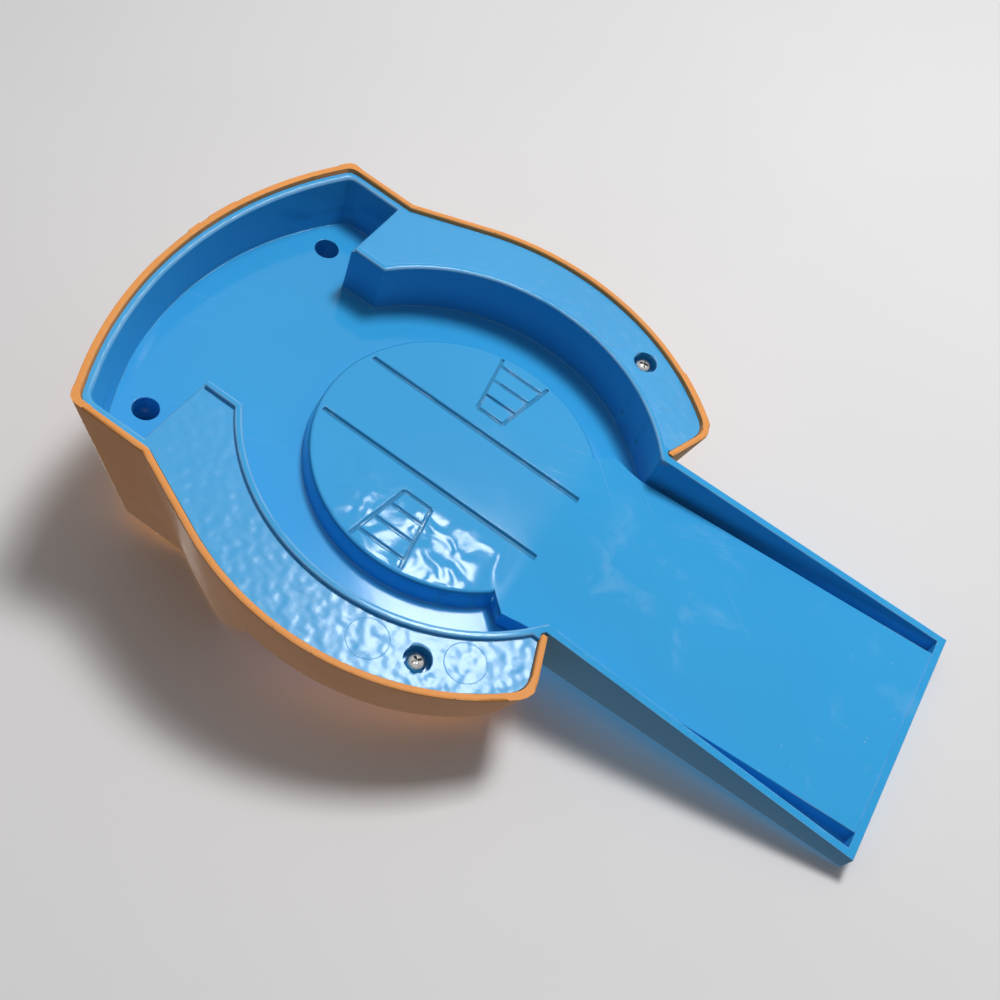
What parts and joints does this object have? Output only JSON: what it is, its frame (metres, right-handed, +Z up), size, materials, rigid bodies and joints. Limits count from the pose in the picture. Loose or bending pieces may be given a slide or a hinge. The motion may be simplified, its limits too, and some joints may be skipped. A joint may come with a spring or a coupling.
{
  "type": "toy vehicle launcher",
  "caption": "Press-to-launch toy vehicle ramp: a tray with a round sunk arena and exit ramp under a housing with a push button that kicks a spring-returned pusher.",
  "frame": {"origin": "the middle of the bounding box on the ground, which is the rim the toy stands on", "axes": "+X runs down the exit ramp, +Y is to the left of a vehicle that leaves, +Z is up"},
  "size_m": [0.2268, 0.1496, 0.0545],
  "materials": {
    "blue_plastic": "glossy moulded light blue plastic with fine scratches",
    "orange_plastic": "satin moulded orange plastic with scuffed edges",
    "white_plastic": "natural white moulded plastic",
    "grey_plastic": "dark grey moulded plastic",
    "black_rubber": "black moulded rubber",
    "steel": "bright drawn steel",
    "spring_steel": "spring wire",
    "zinc_screws": "zinc plated cross-recess screws"
  },
  "bodies": {
    "base": {"base_tray": "blue_plastic", "upper_housing": "orange_plastic", "launch_frame": "white_plastic", "rocker_pin": "steel", "pin_clip_left": "steel", "pin_clip_right": "steel", "guide_rod_left": "steel", "guide_rod_right": "steel", "return_spring_left": "spring_steel", "return_spring_right": "spring_steel", "arm_screw_left": "zinc_screws", "arm_screw_right": "zinc_screws", "block_screw_left": "zinc_screws", "block_screw_right": "zinc_screws", "frame_screw_front_left": "zinc_screws", "frame_screw_front_right": "zinc_screws", "frame_screw_rear_left": "zinc_screws", "frame_screw_rear_right": "zinc_screws"},
    "button": {"launch_button": "blue_plastic"},
    "rocker": {"rocker": "grey_plastic"},
    "pusher": {"pusher": "white_plastic", "pusher_pad": "black_rubber"}
  },
  "joints": [
    {"name": "button_press", "type": "slide", "parent": "base", "child": "button", "axis": [0, 0, -1], "range_m": [0, 0.00845], "stiffness_N_per_m": 500},
    {"name": "rocker_swing", "type": "hinge", "parent": "base", "child": "rocker", "pos_m": [-0.08088, 0, 0.0345], "axis": [0, -1, 0], "range_deg": [0, 50]},
    {"name": "pusher_kick", "type": "slide", "parent": "base", "child": "pusher", "axis": [1, 0, 0], "range_m": [0, 0.01141], "deforming": ["return_spring_left", "return_spring_right"]}
  ],
  "couplings": [
    {"joint": "rocker_swing", "follows": "button_press", "rad_per_m": 103.2},
    {"joint": "pusher_kick", "follows": "button_press", "ratio": 1.35}
  ]
}
